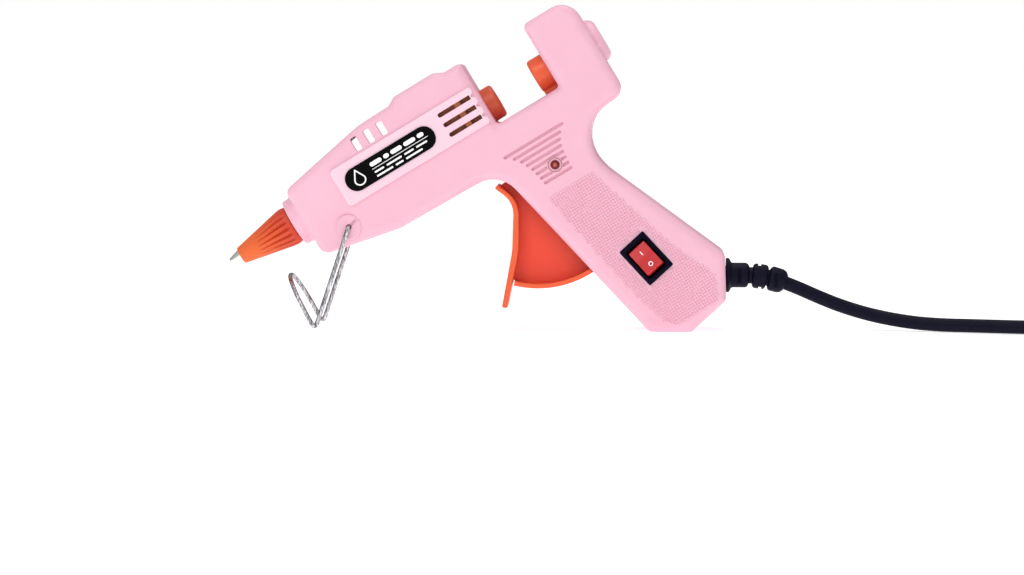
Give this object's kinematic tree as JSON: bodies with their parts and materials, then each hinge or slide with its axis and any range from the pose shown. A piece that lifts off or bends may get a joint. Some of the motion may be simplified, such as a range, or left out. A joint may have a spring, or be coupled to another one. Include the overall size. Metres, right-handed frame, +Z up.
{
  "type": "hot-melt glue gun",
  "caption": "Small corded hot-melt glue gun on its folding wire stand, with a sliding feed worked by its trigger and a rocker switch.",
  "frame": {"origin": "bottom centre of the standing gun, without its free cord: on the bench, half way between the nozzle's tip and the strain relief's end, in the plane of symmetry", "axes": "+X from the nozzle towards the cord, +Z up; the barrel rises towards +X at 31.2 degrees, and -Y is the user's left side, with the label and the switch"},
  "size_m": [0.3535, 0.0445, 0.1081],
  "materials": {
    "pink": "satin moulded ABS",
    "steel": "plated",
    "nozzle": "turned",
    "cast": "as cast",
    "silicone": "matt",
    "carriage": "satin",
    "trigger": "satin",
    "black": "satin",
    "label": "gloss film",
    "red": "gloss",
    "lamp": "clear red lens",
    "brass": "bright",
    "ceramic": "polyimide film over ceramic",
    "board": "solder mask",
    "wire_white": "silicone insulation",
    "wire_red": "PVC insulation",
    "cord": "PVC"
  },
  "bodies": {
    "housing": {"left_shell": "pink", "right_shell": "pink", "housing_screws": "steel", "nozzle_tip": "nozzle", "nozzle_sleeve": "silicone", "melt_chamber": "cast", "ptc_heater": "ceramic", "heater_clip": "steel", "inlet_sleeve": "silicone", "trigger_pin": "steel", "return_spring": "steel", "switch_body": "black", "switch_terminals": "brass", "lamp_lens": "lamp", "lamp_board": "board", "label_plate": "label", "heater_wires": "wire_white", "lamp_wires": "wire_red", "cord_inner": "cord", "cord_clamp": "pink", "clamp_screws": "steel", "strain_relief": "cord", "cord_lead": "cord", "cord_hank": "cord", "cord_tie": "black", "cord_tail": "cord", "plug_body": "cord", "plug_blades": "brass"},
    "trigger": {"trigger": "trigger"},
    "carriage": {"carriage": "carriage", "grip_tooth": "steel", "carriage_pin": "steel"},
    "stand": {"wire_stand": "steel"},
    "rocker": {"switch_rocker": "red"}
  },
  "joints": [
    {"name": "trigger_pull", "type": "hinge", "parent": "housing", "child": "trigger", "pos_m": [0.0101, 0, 0.04766], "axis": [0, -1, 0], "range_deg": [0, 29.49], "stiffness_Nm_per_rad": 0.06, "springref_deg": -20.05, "deforming": ["return_spring"]},
    {"name": "carriage_slide", "type": "slide", "parent": "housing", "child": "carriage", "axis": [-0.8554, 0, -0.518], "range_m": [0, 0.0101]},
    {"name": "stand_fold", "type": "hinge", "parent": "housing", "child": "stand", "pos_m": [-0.05228, 0, 0.03466], "axis": [0, -1, 0], "range_deg": [0, 135]},
    {"name": "rocker_tilt", "type": "hinge", "parent": "housing", "child": "rocker", "pos_m": [0.04616, -0.0137, 0.0246], "axis": [0.7325, 0, 0.6807], "range_deg": [0, 16]}
  ],
  "couplings": [
    {"joint": "carriage_slide", "follows": "trigger_pull", "m_per_rad": 0.01932}
  ]
}
